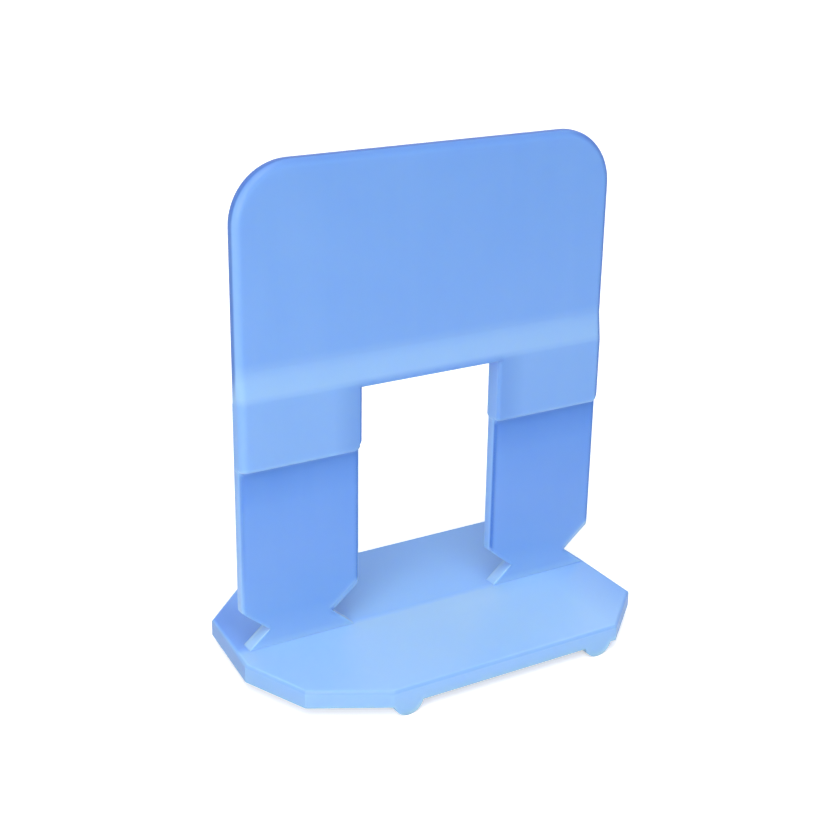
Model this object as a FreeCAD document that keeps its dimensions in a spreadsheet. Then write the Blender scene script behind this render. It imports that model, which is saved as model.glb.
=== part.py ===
import FreeCAD, Part
import Sketcher
import math
import os

# Tile leveling clip, moulded in one piece: an upright frame on a flat base.
# X runs along the frame, Y through it (the front is -Y), Z up. Z = 0 is the
# floor under the two half-round ribs, and X = Y = 0 is the frame's middle.
# Heights named below are measured from the base's flat underside.

SIZES = {
    # The frame, seen from the front
    "frame_width": 43.4,
    "frame_height": 52.3,
    "corner_radius": 6.1,
    "window_width": 16.4,
    "window_top": 28.8,
    # The frame, seen from the side
    "leg_thickness": 1.5,
    "plate_thickness": 1.9,
    "block_rise": 0.4,
    "ledge_height": 21.9,
    "ledge_corner_width": 0.9,
    "ledge_corner_rise": 1.2,
    "ramp_foot": 29.1,
    "ramp_head": 32.2,
    # The V notches that set where the clip snaps off
    "notch_height": 4.0,
    "notch_depth": 3.0,
    "notch_opening": 5.0,
    "notch_bevel_width": 0.7,
    "notch_bevel_depth": 0.4,
    # The base plate, seen from above
    "base_depth": 29.0,
    "base_rim": 1.8,
    "base_crest": 2.05,
    "front_right_cut": 5.6,
    "back_right_cut": 3.4,
    "back_left_cut": 6.8,
    "reach_right": 21.6,
    "reach_back_left": 21.5,
    "reach_left": 22.6,
    "left_peak_setback": 2.9,
    "left_knee_reach": 19.6,
    "left_knee_setback": 10.3,
    "front_edge_left": 11.9,
    "front_edge_right": 15.55,
    # The half-round ribs under the base
    "rib_width": 3.3,
    "rib_depth": 1.3,
    "left_rib_place": 10.2,
    "right_rib_place": 13.2,
    # Rounded edges
    "plate_edge_radius": 0.8,
    "window_edge_radius": 0.4,
    "ledge_edge_radius": 0.35,
    "leg_edge_radius": 0.45,
    "rim_edge_radius": 0.4,
    # How far a cut runs past what it cuts
    "overrun": 2.0,
}

doc = FreeCAD.newDocument("tile_leveling_clip")


def make_sheet(sizes):
    sheet = doc.addObject("Spreadsheet::Sheet", "sizes")
    for row, (name, value) in enumerate(sizes.items(), start=1):
        sheet.set("A%d" % row, name)
        sheet.set("B%d" % row, str(value))
        sheet.setAlias("B%d" % row, name)
    doc.recompute()
    return sheet


sheet = make_sheet(SIZES)


def size(expression, owner=sheet):
    # The present value of an expression in the sheet's names
    return float(owner.evalExpression(expression))


def s(text):
    # Names in braces become cells of the sheet: "{frame_width} / 2"
    return text.replace("{", "sizes.").replace("}", "")


def origin_plane(body, role):
    for feature in body.Origin.OriginFeatures:
        if feature.Role == role:
            return feature
    raise ValueError(role)


def new_sketch(body, name, role, offset=None):
    sketch = body.newObject("Sketcher::SketchObject", name)
    sketch.AttachmentSupport = [(origin_plane(body, role), "")]
    sketch.MapMode = "FlatFace"
    if offset:
        sketch.setExpression("AttachmentOffset.Base.z", s(offset))
    return sketch


def place_point(sketch, line, across, up):
    # Ties the start of a line to its place, measured from the sketch's origin
    axes = (("DistanceX", across, -2), ("DistanceY", up, -1))
    for kind, expression, axis in axes:
        if expression == "0":
            sketch.addConstraint(Sketcher.Constraint("PointOnObject", line, 1, axis))
            continue
        value = size(s(expression))
        number = sketch.addConstraint(Sketcher.Constraint(kind, -1, 1, line, 1, value))
        sketch.setExpression("Constraints[%d]" % number, s(expression))


def closed_outline(sketch, corners):
    # A closed run of straight lines whose corners are all tied to the sheet
    first = sketch.GeometryCount
    points = [FreeCAD.Vector(size(s(x)), size(s(y)), 0) for x, y in corners]
    for start, end in zip(points, points[1:] + points[:1]):
        sketch.addGeometry(Part.LineSegment(start, end), False)
    count = len(corners)
    for index in range(count):
        line = first + index
        following = first + (index + 1) % count
        sketch.addConstraint(Sketcher.Constraint("Coincident", line, 2, following, 1))
    for index, (across, up) in enumerate(corners):
        place_point(sketch, first + index, across, up)


def extrude(body, kind, name, sketch, length=None, midplane=False, reverse=False):
    feature = body.newObject("PartDesign::" + kind, name)
    feature.Profile = sketch
    feature.Midplane = midplane
    feature.Reversed = reverse
    if length is None:
        feature.Type = 1
    else:
        feature.setExpression("Length", s(length))
    sketch.Visibility = False
    doc.recompute()
    return feature


def edges_where(shape, wanted):
    return ["Edge%d" % n for n, edge in enumerate(shape.Edges, start=1) if wanted(edge)]


def near(a, b):
    return abs(a - b) < 1e-4


def runs_along(edge, axis):
    # True for a straight edge that is parallel to one of the three axes
    if edge.Curve.TypeId != "Part::GeomLine":
        return False
    span = edge.BoundBox
    lengths = {"X": span.XLength, "Y": span.YLength, "Z": span.ZLength}
    return near(sum(lengths.values()), lengths[axis])


def turn_to_back(body, name, features):
    # Repeats cuts of the front on the back, half a turn about the Z axis
    turned = body.newObject("PartDesign::PolarPattern", name)
    turned.Originals = features
    turned.Axis = (origin_plane(body, "Z_Axis"), [""])
    turned.Occurrences = 2
    body.Tip = turned
    doc.recompute()
    return turned


def round_edges(body, name, base, wanted, radius):
    fillet = body.newObject("PartDesign::Fillet", name)
    fillet.Base = (base, edges_where(base.Shape, wanted))
    fillet.setExpression("Radius", s(radius))
    doc.recompute()
    return fillet


HALF_WIDTH = "{frame_width} / 2"
HALF_WINDOW = "{window_width} / 2"
TOP = "{rib_depth} + {frame_height}"
WINDOW_TOP = "{rib_depth} + {window_top}"
RAMP_FOOT = "{rib_depth} + {ramp_foot}"
RAMP_HEAD = "{rib_depth} + {ramp_head}"
LEDGE = "{rib_depth} + {ledge_height}"
PLATE_FACE = "{plate_thickness} / 2"
BLOCK_FACE = PLATE_FACE + " + {block_rise}"
RUN_PAST = "(1 + {overrun} / {ledge_corner_width})"


def build_frame():
    body = doc.addObject("PartDesign::Body", "frame")
    half_width = size(s(HALF_WIDTH))
    half_window = size(s(HALF_WINDOW))
    top = size(s(TOP))
    ledge = size(s(LEDGE))

    # The plate, the beam over the window and a block at each side of it
    arch = new_sketch(body, "arch_outline", "XZ_Plane", "-(%s)" % PLATE_FACE)
    closed_outline(arch, [
        ("-(%s)" % HALF_WIDTH, LEDGE),
        ("-(%s)" % HALF_WINDOW, LEDGE),
        ("-(%s)" % HALF_WINDOW, WINDOW_TOP),
        (HALF_WINDOW, WINDOW_TOP),
        (HALF_WINDOW, LEDGE),
        (HALF_WIDTH, LEDGE),
        (HALF_WIDTH, TOP),
        ("-(%s)" % HALF_WIDTH, TOP),
    ])
    blank = extrude(body, "Pad", "arch", arch, "%s + %s" % (PLATE_FACE, BLOCK_FACE))

    def is_top_corner(edge):
        middle = edge.CenterOfMass
        return runs_along(edge, "Y") and near(abs(middle.x), half_width) and near(middle.z, top)

    round_edges(body, "plate_corners", blank, is_top_corner, "{corner_radius}")

    # The plate is flush with the blocks at the back and thinner at the front
    ramp = new_sketch(body, "ramp_outline", "YZ_Plane")
    past = "-(%s) - {overrun}" % BLOCK_FACE
    closed_outline(ramp, [
        (past, RAMP_FOOT),
        ("-(%s)" % BLOCK_FACE, RAMP_FOOT),
        ("-(%s)" % PLATE_FACE, RAMP_HEAD),
        ("-(%s)" % PLATE_FACE, TOP + " + {overrun}"),
        (past, TOP + " + {overrun}"),
    ])
    thinned = extrude(body, "Pocket", "plate_recess", ramp, midplane=True)

    def is_outline(edge):
        # Sides of the blocks, ramp and plate, and the plate's rounded top
        if runs_along(edge, "Y"):
            return False
        span = edge.BoundBox
        on_side = near(abs(edge.CenterOfMass.x), half_width) and near(span.XLength, 0)
        return on_side or (near(span.ZMax, top) and near(span.YLength, 0))

    def is_window_side(edge):
        return runs_along(edge, "Z") and near(abs(edge.CenterOfMass.x), half_window)

    def is_ledge(edge):
        return runs_along(edge, "X") and near(edge.CenterOfMass.z, ledge)

    outline = round_edges(body, "outline_edges", thinned, is_outline, "{plate_edge_radius}")
    sides = round_edges(body, "window_edges", outline, is_window_side, "{window_edge_radius}")
    round_edges(body, "ledge_edges", sides, is_ledge, "{ledge_edge_radius}")

    # The ledge under each block turns up at one end, as a cut corner: on the
    # front at its right end, on the back at its left end
    corners = new_sketch(body, "ledge_corner_outline", "XZ_Plane", "{leg_thickness} / 2")
    for end in (HALF_WIDTH, "-(%s)" % HALF_WINDOW):
        closed_outline(corners, [
            ("%s - {ledge_corner_width}" % end, LEDGE),
            ("%s + {overrun}" % end, LEDGE),
            ("%s + {overrun}" % end, "%s + {ledge_corner_rise} * %s" % (LEDGE, RUN_PAST)),
        ])
    cut = extrude(body, "Pocket", "ledge_corners", corners, reverse=True)
    turn_to_back(body, "back_ledge_corners", [cut])
    return body


def build_legs():
    body = doc.addObject("PartDesign::Body", "legs")

    # Thin enough to stand in a grout joint. Their upper ends are in the blocks.
    leg = new_sketch(body, "leg_outline", "XZ_Plane")
    for side in (-1, 1):
        closed_outline(leg, [
            ("%d * (%s)" % (side, HALF_WIDTH), "{rib_depth}"),
            ("%d * (%s)" % (side, HALF_WIDTH), WINDOW_TOP),
            ("%d * (%s)" % (side, HALF_WINDOW), WINDOW_TOP),
            ("%d * (%s)" % (side, HALF_WINDOW), "{rib_depth}"),
        ])
    blank = extrude(body, "Pad", "leg_pair", leg, "{leg_thickness}", midplane=True)
    round_edges(body, "leg_edges", blank, lambda edge: runs_along(edge, "Z"), "{leg_edge_radius}")

    # Four V notches leave a narrow neck in each leg just above the base
    notches = new_sketch(body, "notch_outline", "XZ_Plane")
    for side in (-1, 1):
        for edge_place, inward in ((HALF_WIDTH, -1), (HALF_WINDOW, 1)):
            mouth = "%d * (%s - %d * {overrun})" % (side, edge_place, inward)
            tip = "%d * (%s + %d * {notch_depth})" % (side, edge_place, inward)
            # The flanks run on past the leg's edge at the same slope
            reach = "{notch_opening} / 2 * (1 + {overrun} / {notch_depth})"
            closed_outline(notches, [
                (mouth, "{rib_depth} + {notch_height} + %s" % reach),
                (tip, "{rib_depth} + {notch_height}"),
                (mouth, "{rib_depth} + {notch_height} - %s" % reach),
            ])
    extrude(body, "Pocket", "break_notches", notches, midplane=True)

    # A bevel along the upper flank, on the front of the notches that open to
    # the right and on the back of those that open to the left
    bevels = [
        add_notch_bevel(body, "right_leg_bevel", HALF_WIDTH),
        add_notch_bevel(body, "left_leg_bevel", "-(%s)" % HALF_WINDOW),
    ]
    turn_to_back(body, "back_bevels", bevels)
    return body


def add_notch_bevel(body, name, mouth):
    # The sketch stands square to the notch's upper flank, at the notch's tip
    sketch = new_sketch(body, name + "_outline", "YZ_Plane", "%s - {notch_depth}" % mouth)
    offset = sketch.AttachmentOffset
    offset.Rotation = FreeCAD.Rotation(FreeCAD.Vector(-1, 0, 0), 45)
    sketch.AttachmentOffset = offset
    sketch.setExpression("AttachmentOffset.Base.y", s("{rib_depth} + {notch_height}"))
    slope = "atan({notch_opening} / 2 / {notch_depth})"
    sketch.setExpression("AttachmentOffset.Rotation.Angle", s(slope))
    doc.recompute()
    run_out = "{notch_bevel_width} * (1 + {overrun} / {notch_bevel_depth})"
    closed_outline(sketch, [
        ("-{leg_thickness} / 2 + {notch_bevel_depth}", "0"),
        ("-{leg_thickness} / 2 - {overrun}", run_out),
        ("-{leg_thickness} / 2 - {overrun}", "0"),
    ])
    flank = "{notch_depth} / cos(%s) + {overrun}" % slope
    return extrude(body, "Pocket", name, sketch, flank, reverse=True)


def build_base():
    body = doc.addObject("PartDesign::Body", "base")

    # Many-sided plate: three corners have one cut each, and the front left has
    # a fuller cut in two steps, where the plate also reaches out furthest
    outline = new_sketch(body, "base_outline", "XY_Plane", "{rib_depth}")
    half = "{base_depth} / 2"
    closed_outline(outline, [
        ("-{front_edge_left}", "-(%s)" % half),
        ("{front_edge_right}", "-(%s)" % half),
        ("{reach_right}", "-(%s) + {front_right_cut}" % half),
        ("{reach_right}", "%s - {back_right_cut}" % half),
        ("{reach_right} - {back_right_cut}", half),
        ("-({reach_back_left} - {back_left_cut})", half),
        ("-{reach_back_left}", "%s - {back_left_cut}" % half),
        ("-{reach_left}", "-{left_peak_setback}"),
        ("-{left_knee_reach}", "-{left_knee_setback}"),
    ])
    extrude(body, "Pad", "base_plate", outline, "{base_crest}")

    # The top falls a little from its crest under the frame to the rims
    crown = new_sketch(body, "crown_outline", "YZ_Plane")
    fall = "({base_crest} - {base_rim}) * (1 + {overrun} / (%s))" % half
    low = "{rib_depth} + {base_crest} - %s" % fall
    high = "{rib_depth} + {base_crest} + {overrun}"
    closed_outline(crown, [
        ("0", "{rib_depth} + {base_crest}"),
        ("%s + {overrun}" % half, low),
        ("%s + {overrun}" % half, high),
        ("-(%s) - {overrun}" % half, high),
        ("-(%s) - {overrun}" % half, low),
    ])
    crowned = extrude(body, "Pocket", "crown", crown, midplane=True)
    top_of_rim = size(s("{rib_depth} + {base_rim}"))

    def is_rim(edge):
        middle = edge.CenterOfMass
        on_crest = near(edge.BoundBox.YLength, 0) and near(middle.y, 0)
        return middle.z > top_of_rim - 0.001 and not on_crest

    round_edges(body, "rim_edges", crowned, is_rim, "{rim_edge_radius}")

    # Two half-round ribs run from the front rim to the back rim
    ribs = new_sketch(body, "rib_outline", "XZ_Plane")
    add_rib_outline(ribs, "-{left_rib_place}")
    add_rib_outline(ribs, "{right_rib_place}")
    extrude(body, "Pad", "ribs", ribs, "{base_depth}", midplane=True)
    return body


def add_rib_outline(sketch, middle):
    # A bow whose lowest point is the floor, closed by a square root in the plate
    radius = "({rib_width} ^ 2 / 4 + {rib_depth} ^ 2) / (2 * {rib_depth})"
    left = "%s - {rib_width} / 2" % middle
    right = "%s + {rib_width} / 2" % middle
    root = "{rib_depth} + {base_rim} / 2"
    corners = [(right, "{rib_depth}"), (right, root), (left, root), (left, "{rib_depth}")]
    first = sketch.GeometryCount
    points = [FreeCAD.Vector(size(s(x)), size(s(z)), 0) for x, z in corners]
    for start, end in zip(points, points[1:]):
        sketch.addGeometry(Part.LineSegment(start, end), False)
    bow_radius = size(s(radius))
    centre = FreeCAD.Vector(size(s(middle)), bow_radius, 0)
    start_angle = math.atan2(points[3].y - centre.y, points[3].x - centre.x)
    end_angle = math.atan2(points[0].y - centre.y, points[0].x - centre.x)
    circle = Part.Circle(centre, FreeCAD.Vector(0, 0, 1), bow_radius)
    bow = sketch.addGeometry(Part.ArcOfCircle(circle, start_angle, end_angle), False)
    for line in (first, first + 1):
        sketch.addConstraint(Sketcher.Constraint("Coincident", line, 2, line + 1, 1))
    sketch.addConstraint(Sketcher.Constraint("Coincident", first + 2, 2, bow, 1))
    sketch.addConstraint(Sketcher.Constraint("Coincident", bow, 2, first, 1))
    for index in range(3):
        place_point(sketch, first + index, *corners[index])
    sketch.addConstraint(Sketcher.Constraint("Vertical", first + 2))
    number = sketch.addConstraint(Sketcher.Constraint("Radius", bow, bow_radius))
    sketch.setExpression("Constraints[%d]" % number, s(radius))
    level = sketch.addConstraint(Sketcher.Constraint("DistanceY", -1, 1, bow, 3, bow_radius))
    sketch.setExpression("Constraints[%d]" % level, s(radius))


clip = doc.addObject("Part::MultiFuse", "clip")
clip.Shapes = [build_frame(), build_legs(), build_base()]
clip.Refine = True
clip.Label = "clip"
doc.recompute()

for item in doc.Objects:
    if "Invalid" in item.State or "Error" in item.State:
        raise RuntimeError("%s failed: %s" % (item.Name, item.State))

if clip.Shape.isNull() or not clip.Shape.isValid():
    raise RuntimeError("the clip is not a valid shape")

print("solids", len(clip.Shape.Solids), "volume", round(clip.Shape.Volume, 2))
print("box", clip.Shape.BoundBox)

os.makedirs("parts", exist_ok=True)
clip.Shape.exportStep("parts/clip.step")
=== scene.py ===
import bpy
import math
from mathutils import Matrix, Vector

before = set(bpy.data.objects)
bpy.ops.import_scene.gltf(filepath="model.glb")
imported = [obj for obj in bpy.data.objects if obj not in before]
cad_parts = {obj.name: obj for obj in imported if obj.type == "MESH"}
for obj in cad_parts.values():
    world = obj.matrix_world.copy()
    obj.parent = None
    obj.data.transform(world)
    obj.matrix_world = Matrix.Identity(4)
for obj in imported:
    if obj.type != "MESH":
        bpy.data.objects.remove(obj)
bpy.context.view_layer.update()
scene = bpy.context.scene
mm = 0.001
print("frame loaded:", ", ".join(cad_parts))


def fromHex(code):
    # sRGB hex to the linear colour that a shader socket takes
    channels = [int(code[i:i + 2], 16) / 255 for i in (1, 3, 5)]
    return [c / 12.92 if c <= 0.04045 else ((c + 0.055) / 1.055) ** 2.4 for c in channels] + [1.0]


def addNode(tree, kind, settings=None, links=None):
    # settings: attributes of the node, or values of its input sockets
    # links: input socket -> output socket of an earlier node
    node = tree.nodes.new("ShaderNode" + kind)
    for key, value in (settings or {}).items():
        if isinstance(key, str) and hasattr(node, key):
            setattr(node, key, value)
        else:
            node.inputs[key].default_value = value
    for key, output in (links or {}).items():
        tree.links.new(output, node.inputs[key])
    return node


def newMaterial(name):
    material = bpy.data.materials.new(name)
    material.use_nodes = True
    material.node_tree.nodes.clear()
    return material


# The clip: polypropylene, injection moulded in a satin tool
clipLook = {
    # Colour by height in mm, as the wall thickness changes on the way up: the
    # thin legs are a darker blue, the thicker parts turn milky; painted shade darkens the legs under the
    # ledge and painted light brightens the ramp
    "wallShadeAndLightColours": [
        (2.9, "#94C0F1"), (3.1, "#98C4F1"),      # base: its walls, its top
        (3.4, "#98C4F1"), (4.2, "#88B5EC"),      # feet of the legs
        # painted shade: the legs' top stops are darker where the ledge above shades them
        (7.0, "#79A9E9"), (14.0, "#72A2E9"),     # legs, darkest under the ledge
        (19.0, "#6A9DE8"), (22.9, "#588FE1"),
        (23.3, "#7FAEED"), (30.2, "#7FAEED"),    # blocks
        # painted light: the ramp is lighter where it slopes up to the light
        (31.0, "#90BCEF"), (32.6, "#8CB9EF"),    # ramp
        (34.4, "#77A8EC"), (53.6, "#71A3E8"),    # plate
    ],
    # Colours laid over it, one after the other. A patch is its strength, then
    # its limits: a measure, where the patch starts and where it is full. The
    # measures are made in measureSurface. Places are in mm: the base's top is at
    # 3.4, the ledges are at 23.2 and the window's top is at 30.1
    "layers": {
        # Paler places: milky clouds and flow lines in the plastic; the rest is painted light: lit narrow
        # sides, painted highlights along edges and the ledges' lips, lit notch bevels and a lit front on
        # the base's top
        "milkAndPaintedLight": ("#A8CFF5", {
            "clouds": (0.06, ("clouds", 0.35, 0.75)),
            "streaks": (0.03, ("streaks", 0.45, 0.75)),
            # painted light on the narrow sides of the legs and the frame
            "litLegSides": (0.4, ("faceSizeY", 0.97, 0.5), ("placeZ", 3.3, 3.9), ("placeZ", 23.4, 23.0)),
            "litFrameSides": (0.16, ("faceSizeY", 0.97, 0.5), ("faceZ", 0.95, 0.3), ("placeZ", 30.0, 33.0)),
            # painted highlights along the legs' right edges, along all edges and on the ledges' lips
            "legEdgeHighlights": (1.0, ("faceX", 0.4, 0.65), ("faceSizeY", 0.1, 0.4),
                         ("placeZ", 3.3, 3.9), ("placeZ", 23.4, 23.0)),
            "edgeHighlights": (0.2, ("straightness", 0.995, 0.85), ("placeZ", 3.3, 3.9)),
            "ledgeEdgeHighlights": (0.15, ("faceZ", -0.1, -0.35), ("placeZ", 3.3, 3.9), ("placeZ", 24.6, 24.2)),
            "ledgeLipHighlights": (0.3, ("placeZ", 23.7, 23.2), ("placeZ", 23.1, 23.2)),
            # painted light on the notch bevels, which face down
            "litNotchBevels": (0.9, ("bentZ", -0.04, -0.3), ("bentXY", 0.0, -0.04),
                            ("faceSizeY", 0.2, 0.5), ("placeZ", 12.0, 10.0)),
            # painted light on the front of the base's top
            "litFrontLeft": (0.15, ("placeX", 0.0, -16.0), ("placeY", -1.0, -3.0),
                          ("faceZ", 0.6, 0.95), ("placeZ", 3.45, 3.36)),
            "litFrontRight": (0.5, ("placeX", -2.0, 8.0), ("placeX", 21.0, 12.0), ("placeY", -1.0, -3.0),
                           ("faceZ", 0.6, 0.95), ("placeZ", 3.45, 3.36)),
        }),
        # Painted shade: dark lines inside the thin legs' edges where their rounding turns away, a dark
        # outline on the frame's back edges, the sides, top and roof of the window, the sides turned from
        # the light, the base's rounded rim and its left walls
        "paintedShade": ("#4275C9", {
            # painted shade along the legs' rounded edges
            "shadedLegLines": (1.0, ("bentSizeY", 0.995, 0.92), ("faceSizeY", 0.45, 0.75), ("faceX", 0.6, 0.4),
                         ("bentZ", -0.15, -0.02), ("placeX", -21.0, -19.0),
                         ("placeZ", 4.5, 6.0), ("placeZ", 23.2, 23.0)),
            "shadedLeftLegLine": (0.5, ("bentSizeY", 0.995, 0.92), ("faceSizeY", 0.45, 0.75),
                            ("bentZ", -0.15, -0.02), ("placeX", -19.0, -21.0),
                            ("placeZ", 4.5, 15.0), ("placeZ", 23.2, 23.0)),
            # painted shade on the window's sides, top and roof
            "shadedWindowSides": (0.34, ("placeSizeX", 11.5, 8.6), ("faceSizeY", 0.2, 0.4),
                            ("placeZ", 23.0, 23.4), ("placeZ", 31.0, 30.0)),
            "shadedWindowTop": (0.2, ("placeZ", 30.8, 30.2), ("placeZ", 29.9, 30.1), ("placeSizeX", 8.8, 8.4)),
            "shadedWindowRoof": (0.55, ("faceZ", -0.2, -0.6), ("placeZ", 26.0, 28.0)),
            # painted shade on the frame's back edges, its right sides and its top
            "shadedOutline": (0.9, ("placeY", -0.5, -0.25), ("faceY", 0.98, 0.85),
                        ("fromWindow", 12.0, 14.0), ("placeZ", 30.5, 33.0)),
            "shadedFarSide": (0.7, ("faceX", 0.05, 0.35), ("faceSizeY", 0.3, 0.5), ("placeZ", 23.2, 24.0)),
            "shadedTopSide": (0.3, ("faceZ", 0.1, 0.6), ("placeZ", 44.0, 47.0)),
            # painted shade on the base's rim and its left walls
            "shadedBaseRim": (0.3, ("faceZ", 0.05, 0.4), ("faceZ", 0.99, 0.8), ("placeZ", 3.45, 3.36)),
            "shadedWallFrontLeft": (0.07, ("faceX", -0.2, -0.45), ("faceZ", 0.9, 0.5), ("placeZ", 3.45, 3.36)),
            "shadedWallLeft": (0.4, ("faceX", -0.9, -1.0), ("faceZ", 0.9, 0.5), ("placeZ", 3.45, 3.36)),
        }),
        # Painted light: behind the frame the base is painted with the blue light that comes through the
        # clip
        "paintedLightBehind": ("#86BAFF", {
            "litBaseBack": (1.0, ("placeY", -1.1, -0.2), ("faceZ", 0.6, 0.95), ("placeZ", 3.45, 3.36)),
        }),
        # Painted contact shade: least light beside the legs and at the ends
        "paintedContactShade": ("#6598E6", {
            "shadedBesideLegs": (0.85, ("openness", 0.9, 0.3), ("placeY", -0.6, 0.3),
                           ("faceZ", 0.6, 0.95), ("placeZ", 3.45, 3.36)),
            "shadedRightEnd": (0.45, ("placeX", 15.0, 21.5), ("placeZ", 3.45, 3.36)),
            "shadedBackLeft": (0.4, ("placeX", -15.0, -19.0), ("placeY", 0.0, 6.0),
                         ("faceZ", 0.6, 0.95), ("placeZ", 3.45, 3.36)),
            "shadedLeftEnd": (0.5, ("placeX", -17.0, -20.0), ("placeY", -0.6, 0.3),
                        ("faceZ", 0.6, 0.95), ("placeZ", 3.45, 3.36)),
        }),
    },
    "edgeReach": 0.9,             # mm, how far in an edge shows
    "edgeSamples": 6,
    "contactReach": 4.5,          # mm, how far the shade of the legs reaches
    "contactSamples": 8,
    "windowLift": 30.0,           # mm, above this the frame is outside the window
    "cloudSize": 14.0,            # mm
    "cloudDetail": 3.0,
    "cloudRoughness": 0.55,
    "streakWidth": 2.6,           # mm, flow lines that run up from the base
    "streakStretch": 12.5,        # their length, in widths
    "streakDetail": 2.0,
    "streakBend": 0.4,
    "roughness": 0.36,
    "roughnessSpread": 0.06,
    "grainSize": 0.35,            # mm
    "grainDepth": 0.004,          # mm
    "grainDetail": 3.0,
    "waveSize": 9.0,              # mm, shrinkage as the moulding cools
    "waveDepth": 0.05,            # mm
    "waveDetail": 1.0,
    "edgeSoftness": 0.15,         # mm
    "lightDepth": 1.2,            # mm that light goes in
    "lightSpread": (0.5, 0.7, 1.0),   # share of that for red, green and blue
    "milkiness": 0.8,
    "gloss": 0.35,
    "refraction": 1.49,           # of polypropylene
}


def addPatch(tree, measures, strength, *limits):
    # A patch with soft edges: the product of its limits, times its strength
    patch = None
    for measure, start, full in limits:
        step = addNode(tree, "MapRange", {"From Min": start, "From Max": full, "To Max": strength},
                       {"Value": measures[measure]})
        if patch:
            tree.links.new(patch, step.inputs["To Max"])
        patch = step.outputs["Result"]
    return patch


def addLayer(tree, measures, under, code, patches):
    # Lays a colour over another one where the patches are
    cover = None
    for patch in patches.values():
        share = addPatch(tree, measures, *patch)
        if cover:
            share = addNode(tree, "Math", {"operation": "ADD", "use_clamp": True},
                            {0: cover, 1: share}).outputs[0]
        cover = share
    mixed = addNode(tree, "MixRGB", {"Color2": fromHex(code)}, {"Fac": cover, "Color1": under})
    return mixed.outputs["Color"]


def measureSurface(tree, look, inMm, normal):
    # What the patches go by: place, the way the surface faces (face) and the way
    # it would face with rounder edges (bent), each as X, Y and Z and with Size
    # as their sizes without sign, and what these give together
    rounded = addNode(tree, "Bevel", {
        "samples": look["edgeSamples"],
        "Radius": look["edgeReach"] * mm,
    }).outputs[0]
    measures = {}
    for name, vector in (("place", inMm), ("face", normal), ("bent", rounded)):
        sizes = addNode(tree, "VectorMath", {"operation": "ABSOLUTE"}, {0: vector}).outputs[0]
        for key, source in ((name, vector), (name + "Size", sizes)):
            parts = addNode(tree, "SeparateXYZ", links={0: source})
            measures.update({key + axis: parts.outputs[axis] for axis in "XYZ"})
    surface = addNode(tree, "NewGeometry")
    straight = addNode(tree, "VectorMath", {"operation": "DOT_PRODUCT"},
                       {0: rounded, 1: surface.outputs["Normal"]})
    across = addNode(tree, "Math", {"operation": "MULTIPLY"}, {0: measures["bentX"], 1: measures["bentY"]})
    above = addNode(tree, "Math", {"operation": "SUBTRACT", 1: look["windowLift"]}, {0: measures["placeZ"]})
    outside = addNode(tree, "Math", {"operation": "MAXIMUM"},
                      {0: measures["placeSizeX"], 1: above.outputs[0]})
    # ambient occlusion near the legs: the openness that places the painted contact shade
    nearby = addNode(tree, "AmbientOcclusion", {
        "samples": look["contactSamples"],
        "Distance": look["contactReach"] * mm,
    })
    measures.update({
        "straightness": straight.outputs["Value"],
        "bentXY": across.outputs[0],
        "fromWindow": outside.outputs[0],
        "openness": nearby.outputs["AO"],
    })
    return measures


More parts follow.
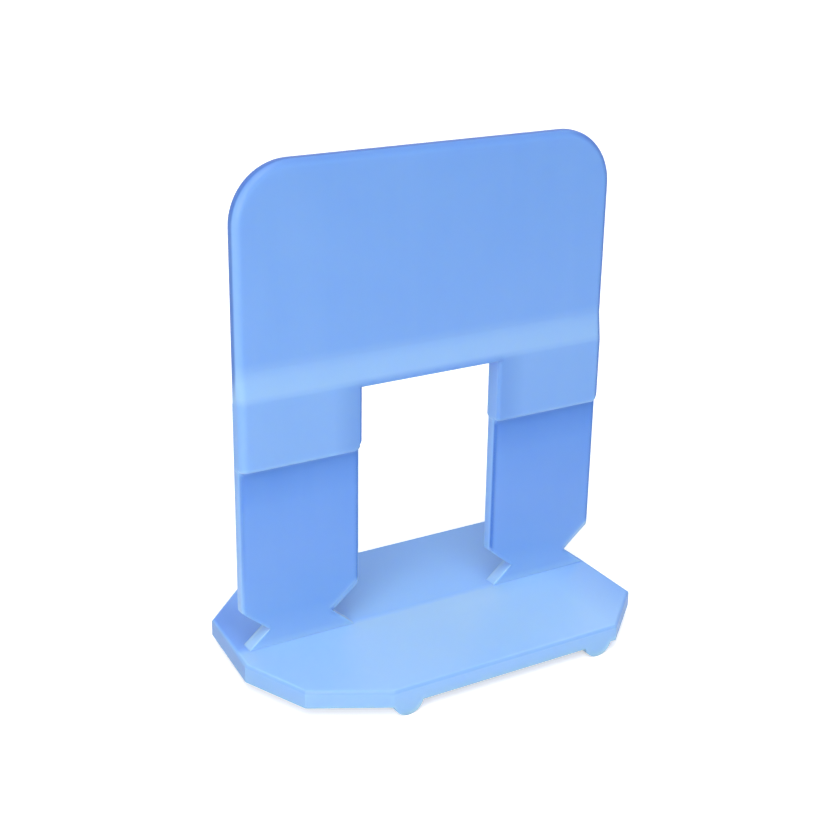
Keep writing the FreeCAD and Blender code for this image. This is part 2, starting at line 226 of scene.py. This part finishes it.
def makePolypropylene(look):
    # Satin to the touch and slightly milky: light goes a little way in, thin
    # parts look deeper blue than thick ones; pale edge lines are painted highlights and darker lines
    # painted shade
    material = newMaterial("mouldedPolypropylene")
    tree = material.node_tree
    coords = addNode(tree, "TexCoord")
    inMm = addNode(tree, "VectorMath", {"operation": "SCALE", "Scale": 1 / mm},
                   {0: coords.outputs["Object"]}).outputs[0]
    measures = measureSurface(tree, look, inMm, coords.outputs["Normal"])

    # Body colour by height: wall thickness, with painted shade under the ledges and painted light on the
    # ramp
    top = look["wallShadeAndLightColours"][-1][0]
    share = addNode(tree, "Math", {"operation": "DIVIDE", 1: top}, {0: measures["placeZ"]})
    wallsShadeAndLight = addNode(tree, "ValToRGB", links={"Fac": share.outputs[0]})
    stops = wallsShadeAndLight.color_ramp.elements
    while len(stops) < len(look["wallShadeAndLightColours"]):
        stops.new(0.5)
    for stop, (level, code) in zip(stops, look["wallShadeAndLightColours"]):
        stop.position = level / top
        stop.color = fromHex(code)

    # Soft clouds and the flow lines of the melt
    clouds = addNode(tree, "TexNoise", {
        "Scale": 1 / look["cloudSize"],
        "Detail": look["cloudDetail"],
        "Roughness": look["cloudRoughness"],
    }, {"Vector": inMm})
    width = look["streakWidth"]
    length = width * look["streakStretch"]
    stretched = addNode(tree, "Mapping", {"Scale": (1 / width, 1 / width, 1 / length)}, {"Vector": inMm})
    streaks = addNode(tree, "TexNoise", {
        "Scale": 1.0,
        "Detail": look["streakDetail"],
        "Distortion": look["streakBend"],
    }, {"Vector": stretched.outputs[0]})
    measures.update({"clouds": clouds.outputs["Fac"], "streaks": streaks.outputs["Fac"]})

    colour = wallsShadeAndLight.outputs["Color"]
    # Lay the milky clouds, the painted light and the painted shade over the body colour
    for code, patches in look["layers"].values():
        colour = addLayer(tree, measures, colour, code, patches)

    # Satin sheen, rougher where the clouds are, with a fine grain and shallow waves
    grain = addNode(tree, "TexNoise", {"Scale": 1 / look["grainSize"], "Detail": look["grainDetail"]},
                    {"Vector": inMm})
    waves = addNode(tree, "TexNoise", {"Scale": 1 / look["waveSize"], "Detail": look["waveDetail"]},
                    {"Vector": inMm})
    sheen = addNode(tree, "MapRange", {"To Min": look["roughness"] - look["roughnessSpread"],
                                       "To Max": look["roughness"] + look["roughnessSpread"]},
                    {"Value": clouds.outputs["Fac"]})
    softened = addNode(tree, "Bevel", {
        "samples": look["edgeSamples"],
        "Radius": look["edgeSoftness"] * mm,
    })
    wavy = addNode(tree, "Bump", {"Strength": 1.0, "Distance": look["waveDepth"] * mm},
                   {"Height": waves.outputs["Fac"], "Normal": softened.outputs[0]})
    relief = addNode(tree, "Bump", {"Strength": 1.0, "Distance": look["grainDepth"] * mm},
                     {"Height": grain.outputs["Fac"], "Normal": wavy.outputs[0]})

    shader = addNode(tree, "BsdfPrincipled", {
        "IOR": look["refraction"],
        "Specular IOR Level": look["gloss"],
        "Subsurface Weight": look["milkiness"],
        "Subsurface Radius": look["lightSpread"],
        "Subsurface Scale": look["lightDepth"] * mm,
    }, {
        "Base Color": colour,
        "Roughness": sheen.outputs["Result"],
        "Normal": relief.outputs[0],
    })
    addNode(tree, "OutputMaterial", links={"Surface": shader.outputs["BSDF"]})
    return material


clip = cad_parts["clip"]
polypropylene = makePolypropylene(clipLook)
clip.data.materials.clear()
clip.data.materials.append(polypropylene)
print("clip dressed")


# The studio: a pale floor, a soft key lamp from the upper left, a weaker one from
# straight above, a small warm lamp close by on the left and even light all round
studio = {
    "floorColour": "#F4F4F4",
    "floorSize": 8.0,             # metres, past the edges of the picture
    "floorLift": 0.5,             # added for the camera, so that the floor reads white
    "keyStrength": 1.55,
    "keyTurn": (33, 0, -34),      # degrees
    "keySpread": 40,              # degrees, how soft the shadows of both are
    "topStrength": 0.4,
    "topTurn": (0, 0, 0),         # degrees
    "sidePlace": (-130, -125, 75),   # mm
    "sideAim": (0, 0, 25),        # mm
    "sideSize": 90,               # mm
    "sidePower": 0.16,            # watts
    "sideColour": "#FFE6B4",
    "roomLight": 0.42,
    "roomColour": "#DAE6FF",      # of the even light, so that shadows stay blue
}


def makeFloor(setup):
    half = setup["floorSize"] / 2
    mesh = bpy.data.meshes.new("studioFloor")
    corners = [(-half, -half, 0), (half, -half, 0), (half, half, 0), (-half, half, 0)]
    mesh.from_pydata(corners, [], [(0, 1, 2, 3)])
    floor = bpy.data.objects.new("studioFloor", mesh)
    scene.collection.objects.link(floor)
    # Matte paper, as rolled: no sheen, it only holds the soft shadow
    material = newMaterial("mattePaper")
    tree = material.node_tree
    paper = addNode(tree, "BsdfDiffuse", {"Color": fromHex(setup["floorColour"])})
    seen = addNode(tree, "LightPath")
    lift = addNode(tree, "Math", {"operation": "MULTIPLY", 1: setup["floorLift"]},
                   {0: seen.outputs["Is Camera Ray"]})
    glow = addNode(tree, "Emission", links={"Strength": lift.outputs[0]})
    both = addNode(tree, "AddShader", links={0: paper.outputs[0], 1: glow.outputs[0]})
    addNode(tree, "OutputMaterial", links={"Surface": both.outputs[0]})
    mesh.materials.append(material)


def makeRoom(setup):
    world = bpy.data.worlds.new("studioRoom")
    world.use_nodes = True
    world.node_tree.nodes.clear()
    scene.world = world
    tree = world.node_tree
    rays = addNode(tree, "LightPath")
    seen = addNode(tree, "Math", {"operation": "MAXIMUM"},
                   {0: rays.outputs["Is Camera Ray"], 1: rays.outputs["Is Glossy Ray"]})
    seen = addNode(tree, "Math", {"operation": "MAXIMUM"},
                   {0: seen.outputs[0], 1: rays.outputs["Is Transmission Ray"]})
    strength = addNode(tree, "MapRange", {"To Min": setup["roomLight"], "To Max": 1.0},
                       {"Value": seen.outputs[0]})
    tint = addNode(tree, "MixRGB", {"Color1": fromHex(setup["roomColour"]), "Color2": (1, 1, 1, 1)},
                   {"Fac": seen.outputs[0]})
    background = addNode(tree, "Background", links={
        "Color": tint.outputs["Color"], "Strength": strength.outputs["Result"]})
    addNode(tree, "OutputWorld", links={"Surface": background.outputs[0]})


def makeLamps(setup):
    for name in ("key", "top"):
        sun = bpy.data.lights.new(name + "Lamp", "SUN")
        sun.energy = setup[name + "Strength"]
        sun.angle = math.radians(setup["keySpread"])
        sunLamp = bpy.data.objects.new(name + "Lamp", sun)
        sunLamp.rotation_euler = [math.radians(a) for a in setup[name + "Turn"]]
        scene.collection.objects.link(sunLamp)
    side = bpy.data.lights.new("sideLamp", "AREA")
    side.energy = setup["sidePower"]
    side.size = setup["sideSize"] * mm
    side.color = fromHex(setup["sideColour"])[:3]
    sideLamp = bpy.data.objects.new("sideLamp", side)
    sideLamp.location = [c * mm for c in setup["sidePlace"]]
    toClip = Vector([c * mm for c in setup["sideAim"]]) - sideLamp.location
    sideLamp.rotation_euler = toClip.to_track_quat("-Z", "Y").to_euler()
    scene.collection.objects.link(sideLamp)


makeFloor(studio)
makeRoom(studio)
makeLamps(studio)
print("studio lit")


# The photo's view, worked out from the clip's own corners
view = {
    "place": (-79.28, -127.87, 83.26),   # mm
    "turn": (68.677, -0.995, -31.194),   # degrees
    "lens": 66.39,                       # mm
    "sensor": 36,                        # mm
    "near": 10,                          # mm, what is closer isn't drawn
}


def makeCamera(setup):
    data = bpy.data.cameras.new("photoCamera")
    data.sensor_width = setup["sensor"]
    data.lens = setup["lens"]
    data.clip_start = setup["near"] * mm
    camera = bpy.data.objects.new("photoCamera", data)
    camera.location = [c * mm for c in setup["place"]]
    camera.rotation_euler = [math.radians(a) for a in setup["turn"]]
    scene.collection.objects.link(camera)
    scene.camera = camera


makeCamera(view)
scene.view_settings.view_transform = "Standard"
print("camera set")
